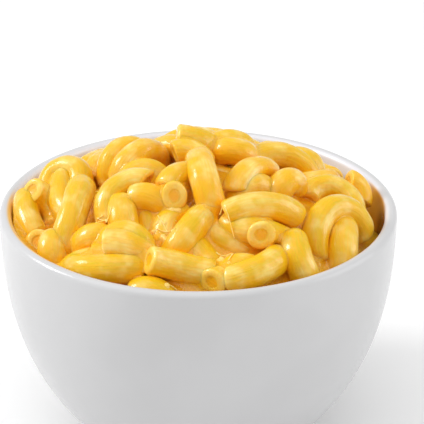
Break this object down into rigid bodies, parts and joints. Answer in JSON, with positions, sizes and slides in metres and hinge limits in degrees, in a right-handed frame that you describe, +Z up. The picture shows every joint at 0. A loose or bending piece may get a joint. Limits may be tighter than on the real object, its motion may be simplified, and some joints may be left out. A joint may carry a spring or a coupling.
{
  "type": "mac and cheese in a bowl",
  "caption": "Round white porcelain bowl on a low foot ring, heaped above its rim with elbow macaroni in cheese sauce.",
  "frame": {"origin": "middle of the bowl's foot ring, on the table", "axes": "+Z up; -Y towards the diner, the side with the fullest view of the heap; +X to the diner's right"},
  "size_m": [0.13, 0.13, 0.1038],
  "materials": {
    "bowl_porcelain": "clear gloss glaze over white porcelain",
    "macaroni_and_cheese": "soft cooked pasta under a wet, glossy yellow cheese sauce"
  },
  "bodies": {
    "root": {"bowl": "bowl_porcelain", "macaroni_heap": "macaroni_and_cheese"}
  },
  "joints": []
}
